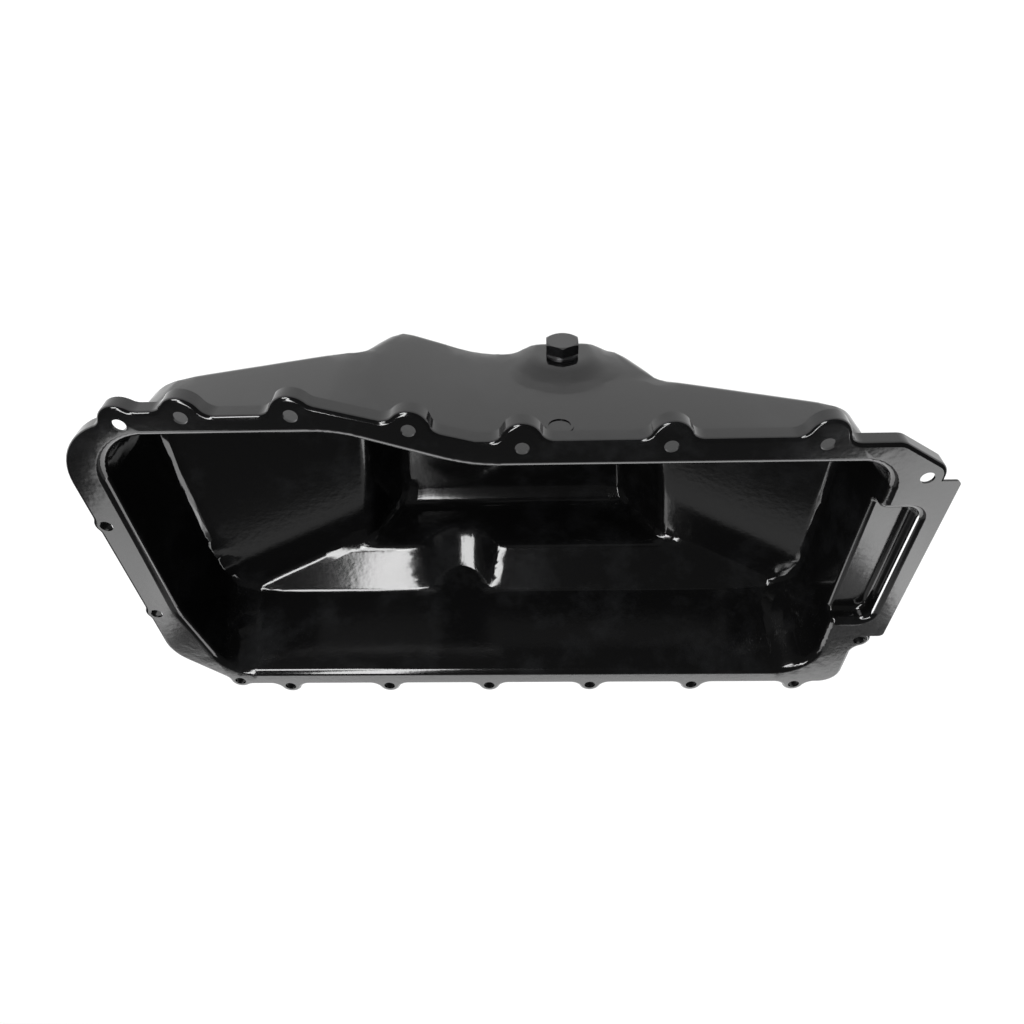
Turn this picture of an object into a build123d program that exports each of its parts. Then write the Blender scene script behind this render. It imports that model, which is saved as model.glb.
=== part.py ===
from build123d import *
from math import cos, radians, sin, tan
import os

# Engine oil pan pressed from one steel sheet: a bolting flange with a turned-down
# lip, two sloping shallow ends, a deep sump between them, a half-round trough in
# the front incline and a shallow pocket beside the right end. A drain plug with
# its washer screws into a nut welded inside the sump's back wall.
# Millimetres. The pan opens upwards and +Y is the drain plug's side. All sizes are
# taken from the sealing face, Z = 0, until the finished pieces are set down on Z = 0.

# Sheet and flange
sheet = 1.6
flange_bend = 5.0
lip_depth = 10.0
lip_bend = 2.4

# Opening, measured to the wall planes at the sealing face
opening_left = -224.8
opening_right = 217.0
opening_front = -108.0
opening_back = 88.0
back_step = 25.4
step_left = -89.0
step_right = -17.5
step_left_bend = 80.0
step_right_bend = 100.0
left_break = -37.0
left_break_bend = 70.0
left_lean = 11.5
back_left_corner = 33.0
back_right_corner = 20.0
front_left_corner = 26.0
front_right_corner = 28.0

# Walls and floors
sump_depth = 136.0
wall_draft = 3.8
front_draft = 20.0
left_floor_depth = 94.0
left_floor_edge = -103.0
left_floor_slope = 17.0
left_sump_lean = 24.0
right_floor_depth = 94.0
right_floor_edge = 108.0
right_floor_slope = 18.0
right_sump_lean = 31.0
sump_yaw = 6.0
floor_tilt = 2.0
incline_top = 61.0
incline_slope = 43.0
incline_width = 35.0
incline_lean = 3.0
floor_bend = 16.0
ridge_bend = 14.0
crease_bend = 8.0
crease_top = 56.0

# Trough in the incline
trough_centre = -41.0
trough_radius = 44.0
trough_depth = 12.0
trough_slope = 52.0

# Pocket beside the right end
pocket_width = 24.0
pocket_front = -50.0
pocket_back = 53.0
pocket_depth = 11.0
pocket_corner = 9.0
pocket_bend = 3.5

# Bulge in the back wall, with the drain plug, its washer and the weld nut
plug_x = 37.0
plug_rise = 18.5
bulge_top = 15.0
bulge_foot = 38.0
bulge_height = 7.0
bulge_back = 20.0
bulge_sink = 0.1
plug_thread = 14.0
plug_flats = 21.0
plug_head = 7.0
plug_chamfer = 25.0
plug_length = 16.0
washer_outer = 20.5
washer_thickness = 2.0
nut_outer = 21.0
nut_height = 9.0
nut_bend = 1.0
thread_clearance = 0.25

# Embossed ring on the back wall
ring_x = 33.0
ring_depth = 40.0
ring_outer = 8.5
ring_width = 1.8
ring_height = 0.7

# Bolt holes, measured from the opening's wall planes
hole_diameter = 8.0
front_hole_gap = 16.7
front_first = 55.8
front_pitch = 75.4
front_count = 6
back_hole_gap = 14.4
back_step_hole_gap = 12.8
left_hole_gap = 15.4
left_front_hole = -36.6
left_back_hole = 47.1
front_left_hole = (19.3, 9.5)
back_left_hole = (22.5, 8.5)
back_left_second = 57.0
step_left_hole = 20.4
step_hole = (40.2, 2.1)
step_right_hole = 28.9
back_right_hole = 42.6
back_right_second = 125.4
right_back_hole = (18.2, 10.5)
right_front_hole = (23.6, 36.9)

# Flange edge between the ears, measured from the opening's wall planes
flange_front_width = 14.5
flange_back_width = 18.5
flange_back_right_width = 14.0
flange_back_left_width = 13.0
flange_left_width = 21.5
flange_right_width = 4.4
flange_back_left_bend = 42.0
flange_front_left_bend = 30.0
flange_front_right_bend = 14.0
flange_right_step = 21.5
right_corner_rise = 6.5
right_corner_bend = 10.0
right_slant_start = 41.6
step_slant_end = 3.5
step_slant_rise = 8.9
between_ears_rise = 3.4
ear_radius = 11.7
ear_reach = 4.1
small_ear_radius = 7.8
ear_fillet = 8.0

# Small tabs on the front edge
tab_places = (-48.0, 89.0)
tab_width = 10.0
tab_reach = 1.4

# Flat plate at the right end, without a lip
plate_width = 9.6
plate_front = -66.5
plate_back = 75.0
plate_corner = 3.0

# How far the cutting shapes run past the sheet
reach = 600.0
margin = 10.0

# Faces that meet at less than this angle are smooth, and edges this near a height lie at it
smooth_angle = 12.0
slack = 1.0


# Sideways run of a slope that leans by an angle over a height
def below(height, angle):
    return height * tan(radians(angle))


# Point at a length down a slope that falls by an angle
def on_slope(start, length, angle):
    return (start[0] + length * cos(radians(angle)), start[1] - length * sin(radians(angle)))


# Edges where two faces meet at an angle, at one height or between two
def creases(part, lowest, highest=None):
    if highest is None:
        lowest, highest = lowest - slack, lowest + slack
    found = []
    faces = part.faces()
    for edge in part.edges():
        middle = edge @ 0.5
        if not lowest < middle.Z < highest:
            continue
        sides = [face for face in faces if edge in face.edges()]
        if len(sides) == 2:
            angle = sides[0].normal_at(middle).get_angle(sides[1].normal_at(middle))
            if smooth_angle < angle < 180 - smooth_angle / 4:
                found.append(edge)
    return found


# Walls before rounding, as seen from above; the front wall is cut back to its plane
outline_front = opening_front - margin
opening_corners = [
    (opening_right, outline_front),
    (opening_right, opening_back),
    (step_right, opening_back),
    (step_left, opening_back + back_step),
    (opening_left, opening_back + back_step),
    (opening_left, left_break),
    (opening_left + below(left_break - outline_front, left_lean), outline_front),
]
opening_bends = [0, back_right_corner, step_right_bend, step_left_bend, back_left_corner, left_break_bend, 0]
wall_depth = sump_depth + 2 * margin

# Incline, trough and bulge, worked out from the wall planes
incline_foot = (opening_front + below(incline_top, front_draft), -incline_top)
ridge = on_slope(incline_foot, incline_width, incline_slope)
trough_down = Vector(0, *on_slope((0, 0), 1, trough_slope))
trough_up = trough_down.rotate(Axis.X, 90)
trough_bottom = Vector(trough_centre, *on_slope(ridge, trough_depth, incline_slope + 90))
trough_axis = trough_bottom + trough_up * trough_radius
wall_out = Vector(0, *on_slope((0, 0), 1, wall_draft))
wall_up = wall_out.rotate(Axis.X, 90)
plug_depth = sump_depth - plug_rise
bulge_seat = Vector(plug_x, opening_back - below(plug_depth, wall_draft), -plug_depth)
bulge_curve = ((bulge_foot - bulge_top) ** 2 + bulge_height**2) / (4 * bulge_height)
bulge_middle = Vector((bulge_foot + bulge_top) / 2, bulge_height / 2)
bulge_normal = (bulge_middle - Vector(bulge_top, bulge_height - bulge_curve)) / bulge_curve


# All on the open side of the sheet; with the sheet's thickness as skin, all inside its outer face
def hollow(skin):
    with BuildPart() as walls:
        with BuildSketch():
            with BuildLine():
                FilletPolyline(*opening_corners, radius=opening_bends, close=True)
            make_face()
            offset(amount=skin, kind=Kind.INTERSECTION)
        extrude(amount=-wall_depth, taper=wall_draft)
        with BuildSketch(Plane.YZ):
            with BuildLine():
                Polyline(
                    (opening_front - below(wall_depth, front_draft), wall_depth),
                    (opening_front + below(wall_depth + margin, front_draft), -wall_depth - margin),
                    (opening_front - reach, -wall_depth - margin),
                    (opening_front - reach, wall_depth),
                    close=True,
                )
            make_face()
            offset(amount=-skin, kind=Kind.INTERSECTION)
        extrude(amount=reach, both=True, mode=Mode.SUBTRACT)
        for group, corner in ((0, front_left_corner), (-1, front_right_corner)):
            front = walls.faces().filter_by(GeomType.PLANE).sort_by(Axis.Y)[0]
            fillet(front.edges().group_by(Axis.X)[group], corner + skin)

    # Half-round trough down the incline, kept inside the walls
    with BuildPart() as trough:
        with BuildSketch(Plane(origin=trough_axis, x_dir=(1, 0, 0), z_dir=trough_down)):
            Circle(trough_radius + skin)
        extrude(amount=trough_radius, both=True)
        add(walls.part, mode=Mode.INTERSECT)

    # Bulge for the drain plug, from the wall down to the sump's floor
    with BuildPart() as bulge:
        with BuildSketch(Plane(origin=bulge_seat, x_dir=(1, 0, 0), z_dir=wall_up)) as half:
            with BuildLine():
                rise = TangentArc((bulge_foot, skin - bulge_sink), bulge_middle + bulge_normal * skin, tangent=(-1, 0))
                TangentArc(rise @ 1, (bulge_top, bulge_height + skin), tangent=rise % 1)
                Polyline(
                    (bulge_top, bulge_height + skin),
                    (0, bulge_height + skin),
                    (0, -bulge_back),
                    (bulge_foot, -bulge_back),
                    (bulge_foot, skin - bulge_sink),
                )
            make_face()
        revolve(axis=Axis(bulge_seat, wall_out))
        with BuildSketch(Plane(origin=bulge_seat, x_dir=(1, 0, 0), z_dir=wall_up)):
            add(half.sketch_local)
            mirror(about=Plane.YZ)
        extrude(amount=-reach)
        with BuildSketch(Plane.XY.offset(-sump_depth - skin)):
            Rectangle(2 * reach, 2 * reach)
        extrude(amount=-reach, mode=Mode.SUBTRACT)
        fillet(bulge.edges().group_by(Axis.Z)[0].sort_by(Axis.Y)[1:], crease_bend + skin)

    with BuildPart() as inside:
        add(walls.part)
        # Pocket beside the right end
        with BuildSketch():
            with Locations((opening_right, (pocket_front + pocket_back) / 2)):
                RectangleRounded(2 * pocket_width, pocket_back - pocket_front, pocket_corner)
            offset(amount=skin)
        extrude(amount=-pocket_depth - skin, taper=wall_draft)
        # Space above the flange, the bends of the pocket and the bend from the flange into the walls
        with BuildSketch(Plane.XY.offset(-skin)):
            Rectangle(2 * reach, reach)
        extrude(amount=margin)
        pocket_edges = creases(inside.part, -pocket_depth - skin)
        fillet([edge for edge in pocket_edges if (edge @ 0.5).X > opening_right + slack], pocket_bend)
        fillet(creases(inside.part, -pocket_depth - skin), pocket_bend)
        flange = [face for face in inside.faces().filter_by(Plane.XY) if face.inner_wires()][0]
        fillet(flange.inner_wires()[0].edges(), flange_bend - skin)
        # Each end: a sloping floor, the sump's end wall and the sump's floor
        for edge_x, depth, slope, lean, side in (
            (left_floor_edge, left_floor_depth, left_floor_slope, left_sump_lean, -1),
            (right_floor_edge, right_floor_depth, right_floor_slope, right_sump_lean, 1),
        ):
            inward = Vector(-side, 0, 0).rotate(Axis.Z, side * sump_yaw)
            along = Vector(0, side, -side * below(1, floor_tilt)).rotate(Axis.Z, side * sump_yaw)
            with BuildSketch(Plane(origin=(edge_x, 0, 0), x_dir=inward, z_dir=along)):
                with BuildLine():
                    FilletPolyline(
                        (-reach, -depth + below(reach, slope)),
                        (0, -depth),
                        (below(wall_depth - depth, lean), -wall_depth),
                        (below(wall_depth - depth, lean), -wall_depth - margin),
                        (-reach, -wall_depth - margin),
                        radius=[0, ridge_bend, 0, 0, 0],
                        close=True,
                    )
                make_face()
                offset(amount=-skin, kind=Kind.INTERSECTION)
            extrude(amount=reach, both=True, mode=Mode.SUBTRACT)
        # The front: an incline from the front wall down to the sump's steep front
        with BuildSketch(Plane.YZ):
            with BuildLine():
                FilletPolyline(
                    on_slope(incline_foot, -reach / 2, incline_slope),
                    ridge,
                    (ridge[0] + below(sump_depth + ridge[1], incline_lean), -sump_depth),
                    (reach, -sump_depth),
                    (reach, -wall_depth - margin),
                    (-reach, -wall_depth - margin),
                    radius=[0, ridge_bend, floor_bend, 0, 0, 0],
                    close=True,
                )
            make_face()
            offset(amount=-skin, kind=Kind.INTERSECTION)
        extrude(amount=reach, both=True, mode=Mode.SUBTRACT)
        add(trough.part)
        # Soften every crease but the trough's own foot
        foot = [
            edge
            for edge in inside.edges()
            if abs((edge @ 0.5).X - trough_centre) < trough_radius and abs((edge @ 0.5).Y - ridge[0]) < ridge_bend
        ]
        sharp = [edge for edge in creases(inside.part, -sump_depth - margin, -crease_top) if edge not in foot]
        fillet(sharp, crease_bend + skin)
        add(bulge.part)
    return inside.part


# Bolt holes, and the ears round them
hole_back_row = opening_back + back_hole_gap
hole_back_left_row = opening_back + back_step + back_step_hole_gap
hole_left_row = opening_left - left_hole_gap
front_places = [
    (opening_left + front_first + front_pitch * count, opening_front - front_hole_gap)
    for count in range(front_count)
]
small_ear_places = front_places + [
    (opening_left + front_left_hole[0], opening_front - front_left_hole[1]),
    (hole_left_row, left_front_hole),
    (hole_left_row, left_back_hole),
    (opening_right + right_front_hole[0], opening_front + right_front_hole[1]),
]
corner_place = (opening_right + right_back_hole[0], opening_back - right_back_hole[1])
left_back_places = [
    (opening_left + back_left_hole[0], opening_back + back_step + back_left_hole[1]),
    (opening_left + back_left_second, hole_back_left_row),
    (step_left - step_left_hole, hole_back_left_row),
    (step_left + step_hole[0], opening_back + step_hole[1] + back_step),
]
back_places = [
    (step_right + step_right_hole, hole_back_row),
    (opening_right - back_right_second, hole_back_row),
    (opening_right - back_right_hole, hole_back_row),
]
hole_places = small_ear_places + left_back_places + back_places + [corner_place]
ears = [(Vector(*place), small_ear_radius) for place in small_ear_places]
ears += [(Vector(*place), ear_radius) for place in left_back_places]
ears += [(Vector(place[0], place[1] + ear_reach), ear_radius) for place in back_places]

# Flange edge between the ears
edge_front = opening_front - flange_front_width
edge_back = opening_back + flange_back_width
edge_back_left = opening_back + back_step + flange_back_left_width
edge_left = opening_left - flange_left_width
edge_right = opening_right + pocket_width + flange_right_width
edge_step = opening_right + flange_right_step
plate_edge = edge_right + plate_width
front_left_x = small_ear_places[front_count][0]
flange_corners = [
    ((front_left_x, edge_front), 0),
    ((edge_step, edge_front), flange_front_right_bend),
    ((edge_step, opening_front + right_front_hole[1]), 0),
    ((edge_right, opening_front + right_front_hole[1]), 0),
    ((edge_right, corner_place[1] + right_corner_rise), right_corner_bend),
    ((back_places[2][0] + right_slant_start, opening_back + flange_back_right_width), right_corner_bend),
    ((back_places[2][0], opening_back + flange_back_right_width), 0),
    ((back_places[2][0], edge_back), 0),
    ((step_right + step_slant_end, edge_back), 0),
    ((left_back_places[2][0], left_back_places[2][1] + step_slant_rise), 0),
    ((left_back_places[2][0], edge_back_left), 0),
    ((left_back_places[1][0], edge_back_left), 0),
    ((left_back_places[1][0], edge_back_left + between_ears_rise), 0),
    ((left_back_places[0][0], edge_back_left + between_ears_rise), 0),
    ((left_back_places[0][0], edge_back_left - between_ears_rise), 0),
    ((edge_left, edge_back_left - between_ears_rise), flange_back_left_bend),
    ((edge_left, edge_front + front_left_x - edge_left), flange_front_left_bend),
]

with BuildSketch() as outline:
    with BuildLine():
        FilletPolyline(
            *[corner for corner, bend in flange_corners],
            radius=[bend for corner, bend in flange_corners],
            close=True,
        )
    make_face()
    for place, radius in ears:
        with Locations(place):
            Circle(radius)
    notches = [
        vertex
        for vertex in outline.vertices()
        if any(abs((Vector(vertex) - place).length - radius) < sheet / 10 for place, radius in ears)
    ]
    fillet(notches, ear_fillet)


# The pan: sheet between the two hollows, with the lip round the flange
with BuildPart() as oil_pan:
    add(hollow(sheet))
    with BuildSketch():
        add(outline.sketch)
    extrude(amount=-wall_depth, mode=Mode.INTERSECT)
    with BuildSketch():
        add(outline.sketch)
        offset(outline.sketch, amount=-sheet, mode=Mode.SUBTRACT)
    extrude(amount=-lip_depth)
    # Bend from the flange into the lip
    top = oil_pan.faces().filter_by(Axis.Z).sort_by(Axis.Z)[-1]
    fillet(top.outer_wire().edges(), lip_bend)
    # Small tabs on the front lip
    with BuildSketch(Plane.XY.offset(-lip_bend)):
        with Locations(*[(tab_x, edge_front) for tab_x in tab_places]):
            SlotOverall(tab_width, 2 * tab_reach)
    extrude(amount=lip_bend - lip_depth)
    # Flat plate at the right end in place of the lip
    with BuildSketch(Plane.XY.offset(-sheet)):
        with Locations((plate_edge, (plate_front + plate_back) / 2)):
            Rectangle(2 * (plate_edge - edge_right + sheet + lip_bend), plate_back - plate_front)
    extrude(amount=-lip_depth, mode=Mode.SUBTRACT)
    with BuildSketch():
        with Locations((edge_right, (plate_front + plate_back) / 2)):
            RectangleRounded(2 * plate_width, plate_back - plate_front, plate_corner)
    extrude(amount=-sheet)
    add(hollow(0), mode=Mode.SUBTRACT)
    # Bolt holes and the drain hole
    with BuildSketch():
        with Locations(*hole_places):
            Circle(hole_diameter / 2)
    extrude(amount=-lip_depth, mode=Mode.SUBTRACT)
    with BuildSketch(Plane(origin=bulge_seat, x_dir=(1, 0, 0), z_dir=wall_out)):
        Circle(plug_thread / 2 + thread_clearance)
    extrude(amount=bulge_height + margin, mode=Mode.SUBTRACT)
    # Embossed ring outside the back wall
    ring_seat = Vector(ring_x, opening_back + sheet / 2 - below(ring_depth, wall_draft), -ring_depth)
    with BuildSketch(Plane(origin=ring_seat, x_dir=(1, 0, 0), z_dir=wall_out)):
        Circle(ring_outer)
        Circle(ring_outer - ring_width, mode=Mode.SUBTRACT)
    extrude(amount=sheet / 2 + ring_height)
oil_pan.part.label = "oil_pan"

# Drain plug on the bulge: washer, hexagon head with a chamfered top, and shank
plug_plane = Plane(origin=bulge_seat + wall_out * (bulge_height + sheet), x_dir=(1, 0, 0), z_dir=wall_out)
with BuildPart() as drain_plug_washer:
    with BuildSketch(plug_plane):
        Circle(washer_outer / 2)
        Circle(plug_thread / 2 + thread_clearance, mode=Mode.SUBTRACT)
    extrude(amount=washer_thickness)
drain_plug_washer.part.label = "drain_plug_washer"

head_plane = plug_plane.offset(washer_thickness)
with BuildPart() as drain_plug:
    with BuildSketch(head_plane):
        RegularPolygon(plug_flats / 2, 6, major_radius=False, rotation=30)
    extrude(amount=plug_head)
    # Chamfer the corners round the head's top
    with BuildSketch(Plane(origin=head_plane.origin, x_dir=(1, 0, 0), z_dir=wall_up)):
        with BuildLine():
            Polyline(
                (0, 0),
                (plug_flats, 0),
                (plug_flats, plug_head - below(plug_flats / 2, plug_chamfer)),
                (plug_flats / 2, plug_head),
                (0, plug_head),
                close=True,
            )
        make_face()
    revolve(axis=Axis(head_plane.origin, wall_out), mode=Mode.INTERSECT)
    with BuildSketch(head_plane):
        Circle(plug_thread / 2)
    extrude(amount=-plug_length)
drain_plug.part.label = "drain_plug"

nut_plane = plug_plane.offset(-sheet)
with BuildPart() as drain_plug_nut:
    with BuildSketch(nut_plane):
        Circle(nut_outer / 2)
    extrude(amount=-nut_height)
    fillet(drain_plug_nut.edges().filter_by(GeomType.CIRCLE).sort_by(Axis.Y)[0], nut_bend)
    with BuildSketch(nut_plane):
        Circle(plug_thread / 2 + thread_clearance)
    extrude(amount=-nut_height, mode=Mode.SUBTRACT)
drain_plug_nut.part.label = "drain_plug_nut"

# Stand the pan on its sump, over the origin
outer = oil_pan.part.bounding_box()
for piece in (oil_pan, drain_plug, drain_plug_washer, drain_plug_nut):
    piece.part.move(Location((-outer.center().X, -outer.center().Y, -outer.min.Z)))

os.makedirs("parts", exist_ok=True)
export_step(oil_pan.part, "parts/oil_pan.step")
export_step(drain_plug.part, "parts/drain_plug.step")
export_step(drain_plug_washer.part, "parts/drain_plug_washer.step")
export_step(drain_plug_nut.part, "parts/drain_plug_nut.step")
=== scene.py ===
import math

import bmesh
import bpy
import numpy as np
from mathutils import Matrix, Vector


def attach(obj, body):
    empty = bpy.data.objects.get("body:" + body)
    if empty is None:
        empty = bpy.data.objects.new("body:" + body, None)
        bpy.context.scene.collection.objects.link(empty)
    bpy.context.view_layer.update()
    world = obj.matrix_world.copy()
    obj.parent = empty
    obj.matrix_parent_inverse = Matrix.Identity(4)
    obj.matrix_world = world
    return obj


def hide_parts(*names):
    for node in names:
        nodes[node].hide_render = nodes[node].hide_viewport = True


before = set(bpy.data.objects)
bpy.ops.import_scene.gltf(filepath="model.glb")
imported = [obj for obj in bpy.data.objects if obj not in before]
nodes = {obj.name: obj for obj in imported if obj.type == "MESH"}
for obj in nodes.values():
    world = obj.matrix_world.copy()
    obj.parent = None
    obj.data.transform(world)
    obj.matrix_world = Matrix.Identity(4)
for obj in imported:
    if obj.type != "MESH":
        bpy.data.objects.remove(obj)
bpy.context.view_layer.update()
scene = bpy.context.scene
scene.view_settings.view_transform = "Standard"


def feed(tree, socket, value):
    if isinstance(value, Sock):
        tree.links.new(value.socket, socket)
    else:
        socket.default_value = value


# One wrapped socket, so that shader maths reads as sums
class Sock:
    def __init__(self, tree, socket):
        self.tree = tree
        self.socket = socket

    def maths(self, operation, first, second):
        node = self.tree.nodes.new("ShaderNodeMath")
        node.operation = operation
        feed(self.tree, node.inputs[0], first)
        feed(self.tree, node.inputs[1], second)
        return Sock(self.tree, node.outputs[0])

    def __add__(self, other):
        return self.maths("ADD", self, other)

    def __radd__(self, other):
        return self.maths("ADD", other, self)

    def __mul__(self, other):
        return self.maths("MULTIPLY", self, other)

    def __rmul__(self, other):
        return self.maths("MULTIPLY", other, self)

    def most(self, other):
        return self.maths("MAXIMUM", self, other)


# A node tree of a material or the world, with one method that makes any node
class Tree:
    def __init__(self, block):
        block.use_nodes = True
        self.block = block
        self.tree = block.node_tree
        self.tree.nodes.clear()

    def node(self, kind, settings=None, output=0, **values):
        node = self.tree.nodes.new(kind)
        for key, value in (settings or {}).items():
            setattr(node, key, value)
        for key, value in values.items():
            feed(self.tree, node.inputs[key.replace("_", " ")], value)
        return Sock(self.tree, node.outputs[output])

    def ramp(self, value, stops):
        ramp = self.node("ShaderNodeValToRGB", Fac=value)
        elements = ramp.socket.node.color_ramp.elements
        while len(elements) < len(stops):
            elements.new(1.0)
        for element, (place, level) in zip(elements, stops):
            element.position = place
            element.color = (level, level, level, 1.0)
        return ramp

    def noise(self, place, scale, detail=2.0, roughness=0.5):
        return self.node("ShaderNodeTexNoise", Vector=place, Scale=scale, Detail=detail, Roughness=roughness)

    def end(self, surface, kind="ShaderNodeOutputMaterial"):
        out = self.tree.nodes.new(kind)
        feed(self.tree, out.inputs["Surface"], surface)
        return self.block


# Camera: place and the directions it looks along, in the part's frame
cameraSetup = {
    "place": (0.0149, 0.3508, 0.4498),
    "ahead": (-0.0323, -0.6904, -0.7227),
    "above": (0.0115, 0.7228, -0.6910),
    "lens": 26.02,
    "sensor": 36.0,
    "nearest": 0.01,
}


def aim(thing, place, ahead, above):
    back = -Vector(ahead).normalized()
    right = Vector(above).cross(back).normalized()
    turn = Matrix((right, back.cross(right), back)).transposed()
    thing.matrix_world = Matrix.Translation(Vector(place)) @ turn.to_4x4()


def makeCamera(setup):
    data = bpy.data.cameras.new("camera")
    data.lens = setup["lens"]
    data.sensor_width = setup["sensor"]
    data.clip_start = setup["nearest"]
    camera = bpy.data.objects.new("camera", data)
    scene.collection.objects.link(camera)
    aim(camera, setup["place"], setup["ahead"], setup["above"])
    scene.camera = camera


makeCamera(cameraSetup)
print("camera made")


# Stage: a white floor that the eye sees white, and dim surroundings with bright soft boxes
stageSetup = {
    "floorSize": 30.0,
    "floorWhite": 0.9,
    "floorSeen": 1.12,
    "aroundSeen": 1.0,
    "aroundLevel": 0.06,
    "seenShare": 0.85,
}
middle = (0, 0, 0.1)
lampSetup = {
    "frontBox": {"place": (0.0, -1.7, 0.62), "target": middle, "size": (3.2, 1.12), "radiance": 3.0},
    "frontGlow": {"place": (0.0, -1.5, 1.5), "target": middle, "size": (2.6, 0.34), "radiance": 0.5},
    "frontRightBox": {"place": (1.3, -1.27, 1.25), "target": middle, "size": (0.55, 0.9), "radiance": 4.0},
    "frontLeftBox": {"place": (-1.23, -1.32, 1.45), "target": middle, "size": (0.4, 0.5), "radiance": 3.0},
    "overheadStrip": {
        "place": (-0.42, 1.0, 1.4),
        "target": (-0.42, 1.0, 0),
        "size": (0.22, 2.6),
        "radiance": 18.0,
    },
    "sideBox": {"place": (-0.9, 1.85, 1.15), "target": middle, "size": (0.8, 0.8), "radiance": 16.0},
}
# A lamp that looks more steeply down than this is turned by Y, because Z would leave its roll open
steepest = -0.9


def makePlane(name, size, place, material):
    mesh = bpy.data.meshes.new(name)
    wide, deep = size[0] / 2, size[1] / 2
    corners = [(-wide, -deep, 0), (wide, -deep, 0), (wide, deep, 0), (-wide, deep, 0)]
    mesh.from_pydata([Vector(corner) + Vector(place) for corner in corners], [], [(0, 1, 2, 3)])
    mesh.materials.append(material)
    plane = bpy.data.objects.new(name, mesh)
    scene.collection.objects.link(plane)


def seenWhite(tree, surface, level, share):
    path = tree.tree.nodes.new("ShaderNodeLightPath")
    kinds = ("Is Camera Ray", "Is Glossy Ray", "Is Transmission Ray")
    rays = [Sock(tree.tree, path.outputs[kind]) for kind in kinds]
    white = tree.node("ShaderNodeEmission", Color=(level, level, level, 1.0), Strength=1.0)
    mix = tree.tree.nodes.new("ShaderNodeMixShader")
    feed(tree.tree, mix.inputs[0], rays[0].most(rays[1]).most(rays[2]) * share)
    feed(tree.tree, mix.inputs[1], surface)
    feed(tree.tree, mix.inputs[2], white)
    return Sock(tree.tree, mix.outputs[0])


def makeStage(setup):
    white = Tree(bpy.data.materials.new("floorWhite"))
    pale = white.node("ShaderNodeBsdfDiffuse", Color=(setup["floorWhite"],) * 3 + (1.0,))
    white.end(seenWhite(white, pale, setup["floorSeen"], setup["seenShare"]))
    makePlane("floor", (setup["floorSize"],) * 2, (0, 0, 0), white.block)
    world = Tree(bpy.data.worlds.new("studio"))
    seen = world.node("ShaderNodeLightPath")
    level = seen * (setup["aroundSeen"] - setup["aroundLevel"]) + setup["aroundLevel"]
    glow = world.node("ShaderNodeBackground", Color=(1.0, 1.0, 1.0, 1.0), Strength=level)
    world.end(glow, "ShaderNodeOutputWorld")
    scene.world = world.block


def makeLamps(setups):
    for name, setup in setups.items():
        data = bpy.data.lights.new(name, "AREA")
        data.shape = "RECTANGLE"
        data.size, data.size_y = setup["size"]
        data.energy = setup["radiance"] * math.pi * data.size * data.size_y
        lamp = bpy.data.objects.new(name, data)
        scene.collection.objects.link(lamp)
        ahead = Vector(setup["target"]) - Vector(setup["place"])
        above = (0, 0, 1) if ahead.normalized().z > steepest else (0, 1, 0)
        aim(lamp, setup["place"], ahead, above)
        lamp.visible_camera = False


makeStage(stageSetup)
makeLamps(lampSetup)
print("stage and lamps made")


# Gloss black coat on the pressed steel, with fine orange peel, dust and a few scuffs
paintSetup = {
    "black": (0.0028, 0.0028, 0.0029),
    "dust": (0.05, 0.052, 0.056),
    "dustScale": 22.0,
    "dustDetail": 8.0,
    "dustGrain": 0.7,
    "dustStops": ((0.5, 0.0), (0.78, 0.16)),
    "scuffScale": (260.0, 45.0, 260.0),
    "scuffDetail": 3.0,
    "scuffStops": ((0.66, 0.0), (0.74, 0.3)),
    "roughness": 0.11,
    "rougher": 0.22,
    "ior": 1.5,
    "peelScale": 240.0,
    "peelDetail": 1.0,
    "peelHeight": 0.03,
    "peelDepth": 0.001,
}
plugSetup = dict(
    paintSetup,
    black=(0.004, 0.004, 0.0042),
    dustStops=((0.5, 0.02), (0.8, 0.2)),
    roughness=0.2,
)
washerSetup = {
    "grey": (0.36, 0.36, 0.37),
    "darker": 0.45,
    "roughness": 0.34,
    "rougher": 0.2,
    "grain": 900.0,
    "stainDetail": 4.0,
}


def blend(tree, share, first, second):
    colours = {"A": first + (1.0,), "B": second + (1.0,)}
    return tree.node("ShaderNodeMix", {"data_type": "RGBA"}, 2, Factor=share, **colours)


def makePaint(name, setup):
    paint = Tree(bpy.data.materials.new(name))
    place = paint.node("ShaderNodeTexCoord", output=3)
    specks = paint.noise(place, setup["dustScale"], setup["dustDetail"], setup["dustGrain"])
    dust = paint.ramp(specks, setup["dustStops"])
    streaks = paint.node("ShaderNodeMapping", Vector=place, Scale=setup["scuffScale"])
    scuffs = paint.ramp(paint.noise(streaks, 1.0, setup["scuffDetail"]), setup["scuffStops"])
    worn = dust.most(scuffs * dust)
    peel = paint.noise(place, setup["peelScale"], setup["peelDetail"])
    bump = paint.node(
        "ShaderNodeBump", Height=peel, Strength=setup["peelHeight"], Distance=setup["peelDepth"]
    )
    shader = paint.tree.nodes.new("ShaderNodeBsdfPrincipled")
    shader.inputs["IOR"].default_value = setup["ior"]
    feed(paint.tree, shader.inputs["Base Color"], blend(paint, worn, setup["black"], setup["dust"]))
    feed(paint.tree, shader.inputs["Roughness"], worn * setup["rougher"] + setup["roughness"])
    feed(paint.tree, shader.inputs["Normal"], bump)
    return paint.end(Sock(paint.tree, shader.outputs[0]))


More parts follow.
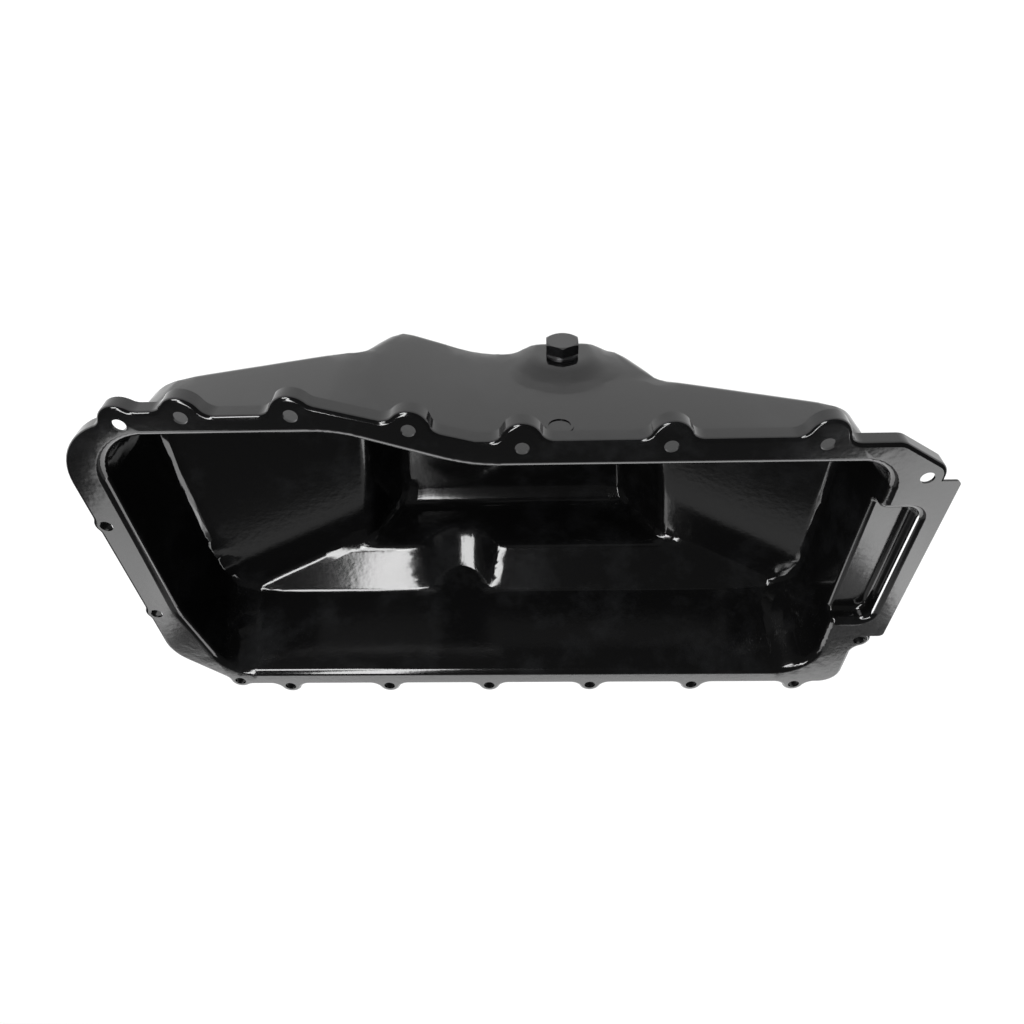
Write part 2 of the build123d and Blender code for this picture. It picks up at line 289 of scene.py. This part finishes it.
# Plain soft metal of the sealing washer, a little stained
def makeMetal(name, setup):
    metal = Tree(bpy.data.materials.new(name))
    place = metal.node("ShaderNodeTexCoord", output=3)
    stain = metal.noise(place, setup["grain"], setup["stainDetail"])
    shader = metal.tree.nodes.new("ShaderNodeBsdfPrincipled")
    shader.inputs["Metallic"].default_value = 1.0
    dark = tuple(level * setup["darker"] for level in setup["grey"])
    feed(metal.tree, shader.inputs["Base Color"], blend(metal, stain, setup["grey"], dark))
    feed(metal.tree, shader.inputs["Roughness"], stain * setup["rougher"] + setup["roughness"])
    return metal.end(Sock(metal.tree, shader.outputs[0]))


# The pan's skin: its solid in smaller triangles, with the deep part's creases drawn soft
shellSetup = {
    "mergeWithin": 1e-6,
    "edge": 0.0080,
    "rounds": 8,
    "sharpAngle": math.radians(38),
    # Corners are 0 to 2 and the middles of the sides after them 3 to 5
    "cuts": {
        1: ((0, 3, 2), (3, 1, 2)),
        2: ((3, 1, 4), (0, 3, 4), (0, 4, 2)),
        3: ((0, 3, 5), (3, 1, 4), (5, 4, 2), (3, 4, 5)),
    },
    "softFrom": 0.1216,
    "softFull": 0.1046,
    "passes": 15,
    "shortest": 0.0006,
    "step": 0.6,
    "normalWeight": 50,
    "plugSeat": {"place": (0.0335, 0.088, 0.0195), "inner": 0.019, "outer": 0.034, "least": 0.0},
    "ring": {"place": (0.0295, 0.0846, 0.0976), "inner": 0.012, "outer": 0.022, "least": 0.0},
    "trough": {"place": (-0.0445, -0.05, 0.045), "inner": 0.03, "outer": 0.065, "least": 0.15},
}


# Halves every long side below the flange, each middle shared by both neighbours so that no seam opens
def evenTriangles(places, corners, setup):
    for _ in range(setup["rounds"]):
        sides = np.sort(np.stack((corners, np.roll(corners, -1, axis=1)), axis=2), axis=2)
        keys, where = np.unique(sides[:, :, 0] * len(places) + sides[:, :, 1], return_inverse=True)
        first, second = places[keys // len(places)], places[keys % len(places)]
        low = np.minimum(first[:, 2], second[:, 2]) < setup["softFrom"]
        split = low & (np.linalg.norm(first - second, axis=1) > setup["edge"])
        if not split.any():
            break
        middles = np.full(len(keys), -1)
        middles[split] = len(places) + np.arange(split.sum())
        places = np.concatenate((places, (first[split] + second[split]) / 2))
        middles = middles[where.reshape(-1, 3)]
        halved = (middles >= 0).sum(axis=1)
        # Turn each triangle so that its halved sides come first
        turn = np.zeros(len(corners), dtype=np.int64)
        turn[halved == 1] = np.argmax(middles[halved == 1] >= 0, axis=1)
        turn[halved == 2] = (np.argmin(middles[halved == 2] >= 0, axis=1) + 1) % 3
        order = (np.arange(3) + turn[:, None]) % 3
        corners = np.take_along_axis(corners, order, axis=1)
        middles = np.take_along_axis(middles, order, axis=1)
        names = np.concatenate((corners, middles), axis=1)
        made = [corners[halved == 0]]
        for count, shapes in setup["cuts"].items():
            chosen = names[halved == count]
            made += [chosen[:, shape] for shape in shapes]
        corners = np.concatenate(made)
    return places, corners


# Draws each vertex towards its neighbours, nearer ones more; the flange, plug seat and ring stay put
def drawSoft(mesh, setup):
    count = len(mesh.vertices)
    places = np.empty(count * 3)
    mesh.vertices.foreach_get("co", places)
    places = places.reshape(-1, 3)
    pairs = np.empty(len(mesh.edges) * 2, dtype=np.int64)
    mesh.edges.foreach_get("vertices", pairs)
    first, second = pairs.reshape(-1, 2).T
    ends, others = np.concatenate((first, second)), np.concatenate((second, first))
    share = np.clip((setup["softFrom"] - places[:, 2]) / (setup["softFrom"] - setup["softFull"]), 0, 1)
    share = share * share * (3 - 2 * share)
    for name in ("plugSeat", "ring", "trough"):
        kept = setup[name]
        away = np.linalg.norm(places - kept["place"], axis=1)
        part = np.clip((away - kept["inner"]) / (kept["outer"] - kept["inner"]), 0, 1)
        share *= kept["least"] + (1 - kept["least"]) * part
    share = share[:, None] * setup["step"]
    for _ in range(setup["passes"]):
        pull = 1 / np.maximum(np.linalg.norm(places[ends] - places[others], axis=1), setup["shortest"])
        sums = [np.bincount(ends, places[others, axis] * pull, count) for axis in range(3)]
        around = np.stack(sums, axis=1)
        places += (around / np.bincount(ends, pull, count)[:, None] - places) * share
    mesh.vertices.foreach_set("co", places.ravel())
    mesh.update()


def makeShell(node, material, setup):
    mesh = node.data.copy()
    mesh.name = "panShell"
    work = bmesh.new()
    work.from_mesh(mesh)
    bmesh.ops.remove_doubles(work, verts=work.verts, dist=setup["mergeWithin"])
    bmesh.ops.triangulate(work, faces=[face for face in work.faces if len(face.verts) > 3])
    work.to_mesh(mesh)
    work.free()
    places = np.empty(len(mesh.vertices) * 3)
    mesh.vertices.foreach_get("co", places)
    corners = np.empty(len(mesh.loops), dtype=np.int64)
    mesh.loops.foreach_get("vertex_index", corners)
    places, corners = evenTriangles(places.reshape(-1, 3), corners.reshape(-1, 3), setup)
    mesh.clear_geometry()
    mesh.from_pydata(places.tolist(), [], corners.tolist())
    work = bmesh.new()
    work.from_mesh(mesh)
    for edge in work.edges:
        edge.smooth = len(edge.link_faces) == 2 and edge.calc_face_angle() < setup["sharpAngle"]
    work.to_mesh(mesh)
    work.free()
    drawSoft(mesh, setup)
    mesh.polygons.foreach_set("use_smooth", [True] * len(mesh.polygons))
    mesh.materials.clear()
    mesh.materials.append(material)
    shell = bpy.data.objects.new("panShell", mesh)
    scene.collection.objects.link(shell)
    soften = shell.modifiers.new("weighted", "WEIGHTED_NORMAL")
    soften.mode = "FACE_AREA"
    soften.weight = setup["normalWeight"]
    soften.keep_sharp = True
    print("shell triangles", len(mesh.polygons))
    return shell


paint = makePaint("glossBlackCoat", paintSetup)
shell = makeShell(nodes["oil_pan"], paint, shellSetup)
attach(shell, "root")
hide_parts("oil_pan")
finishes = {
    "drain_plug": makePaint("plugCoat", plugSetup),
    "drain_plug_washer": makeMetal("washerMetal", washerSetup),
    "drain_plug_nut": paint,
}
for name, finish in finishes.items():
    nodes[name].data.materials.clear()
    nodes[name].data.materials.append(finish)
print("pan made")
